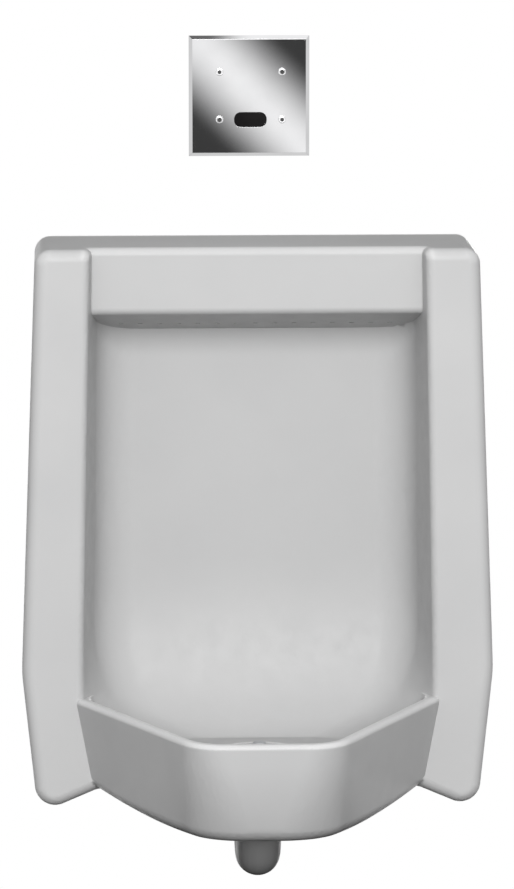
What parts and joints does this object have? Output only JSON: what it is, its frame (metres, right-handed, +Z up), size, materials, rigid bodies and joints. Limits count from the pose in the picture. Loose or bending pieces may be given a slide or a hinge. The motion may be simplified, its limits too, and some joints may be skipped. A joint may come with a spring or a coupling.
{
  "type": "wall-hung urinal",
  "caption": "Wall-hung glazed urinal with side shields, washing rim, faceted bowl and trap, and an in-wall sensor flush valve behind a square cover plate.",
  "frame": {"origin": "centre of the waste outlet on the finished wall plane", "axes": "+X to the right seen from the front, +Y into the wall, +Z up"},
  "size_m": [0.4654, 0.4436, 0.8553],
  "materials": {
    "china": "glossy white glaze",
    "strainer_steel": "satin stainless",
    "outlet_rubber": "matt black",
    "flange_brass": "as cast",
    "bolt_steel": "zinc plated",
    "hanger_steel": "zinc plated",
    "hanger_screw_steel": "zinc plated",
    "spud_rubber": "matt black",
    "spud_brass": "machined",
    "washer_steel": "satin",
    "pipe_brass": "drawn, plain",
    "slip_rubber": "matt black",
    "breaker_brass": "machined",
    "float_plastic": "matt white",
    "valve_brass": "machined",
    "diaphragm_rubber": "smooth black",
    "poppet_brass": "turned",
    "spring_steel": "drawn wire",
    "bonnet_plastic": "matt black",
    "coil_plastic": "moulded blue",
    "plunger_steel": "ground",
    "plug_chrome": "polished",
    "box_steel": "galvanised",
    "frame_steel": "satin",
    "case_plastic": "matt black",
    "cell_metal": "plain grey sleeve",
    "housing_plastic": "matt black",
    "board_plastic": "green laminate",
    "window_plastic": "gloss black",
    "plate_chrome": "polished",
    "screw_chrome": "polished"
  },
  "bodies": {
    "urinal": {"battery_case": "case_plastic", "battery_cell_1": "cell_metal", "battery_cell_2": "cell_metal", "battery_cell_3": "cell_metal", "battery_cell_4": "cell_metal", "battery_lid": "case_plastic", "breaker_body": "breaker_brass", "china_body": "china", "cover_plate": "plate_chrome", "elbow_nut": "spud_brass", "flush_elbow": "pipe_brass", "flush_tube": "pipe_brass", "hanger_left": "hanger_steel", "hanger_right": "hanger_steel", "hanger_screw_left_1": "hanger_screw_steel", "hanger_screw_left_2": "hanger_screw_steel", "hanger_screw_right_1": "hanger_screw_steel", "hanger_screw_right_2": "hanger_screw_steel", "inlet_spud": "spud_brass", "main_diaphragm": "diaphragm_rubber", "mounting_frame": "frame_steel", "nipple_locknut": "valve_brass", "outlet_bolt_left": "bolt_steel", "outlet_bolt_right": "bolt_steel", "outlet_flange": "flange_brass", "outlet_gasket": "outlet_rubber", "outlet_nut_left": "bolt_steel", "outlet_nut_right": "bolt_steel", "plate_screw_1": "screw_chrome", "plate_screw_2": "screw_chrome", "plate_screw_3": "screw_chrome", "plate_screw_4": "screw_chrome", "plunger_spring": "spring_steel", "poppet_spring": "spring_steel", "sensor_board": "board_plastic", "sensor_housing": "housing_plastic", "sensor_window": "window_plastic", "slip_gasket": "slip_rubber", "slip_nut": "pipe_brass", "solenoid_coil": "coil_plastic", "spud_locknut": "spud_brass", "spud_sleeve": "spud_rubber", "spud_washer": "washer_steel", "stop_body": "valve_brass", "stop_gland": "valve_brass", "supply_nipple": "valve_brass", "valve_body": "valve_brass", "valve_bonnet": "bonnet_plastic", "wall_box": "box_steel"},
    "strainer": {"drain_strainer": "strainer_steel"},
    "float": {"breaker_float": "float_plastic"},
    "poppet": {"main_poppet": "poppet_brass"},
    "plunger": {"solenoid_plunger": "plunger_steel"},
    "stop": {"stop_plug": "plug_chrome"}
  },
  "joints": [
    {"name": "strainer_lift", "type": "slide", "parent": "urinal", "child": "strainer", "axis": [0, 0, 1], "range_m": [0, 0.04]},
    {"name": "float_lift", "type": "slide", "parent": "urinal", "child": "float", "axis": [0, 0, 1], "range_m": [0, 0.004]},
    {"name": "poppet_slide", "type": "slide", "parent": "urinal", "child": "poppet", "axis": [0, -1, 0], "range_m": [0, 0.004], "stiffness_N_per_m": 300, "springref_m": -0.006, "deforming": ["poppet_spring", "main_diaphragm"]},
    {"name": "plunger_slide", "type": "slide", "parent": "urinal", "child": "plunger", "axis": [0, -1, 0], "range_m": [0, 0.004], "stiffness_N_per_m": 120, "springref_m": -0.004, "deforming": ["plunger_spring"]},
    {"name": "stop_turn", "type": "hinge", "parent": "urinal", "child": "stop", "pos_m": [0, 0.054, 0.694], "axis": [0, -1, 0], "range_deg": [0, 90]}
  ],
  "couplings": [
    {"joint": "plunger_slide", "follows": "poppet_slide", "ratio": 1}
  ]
}
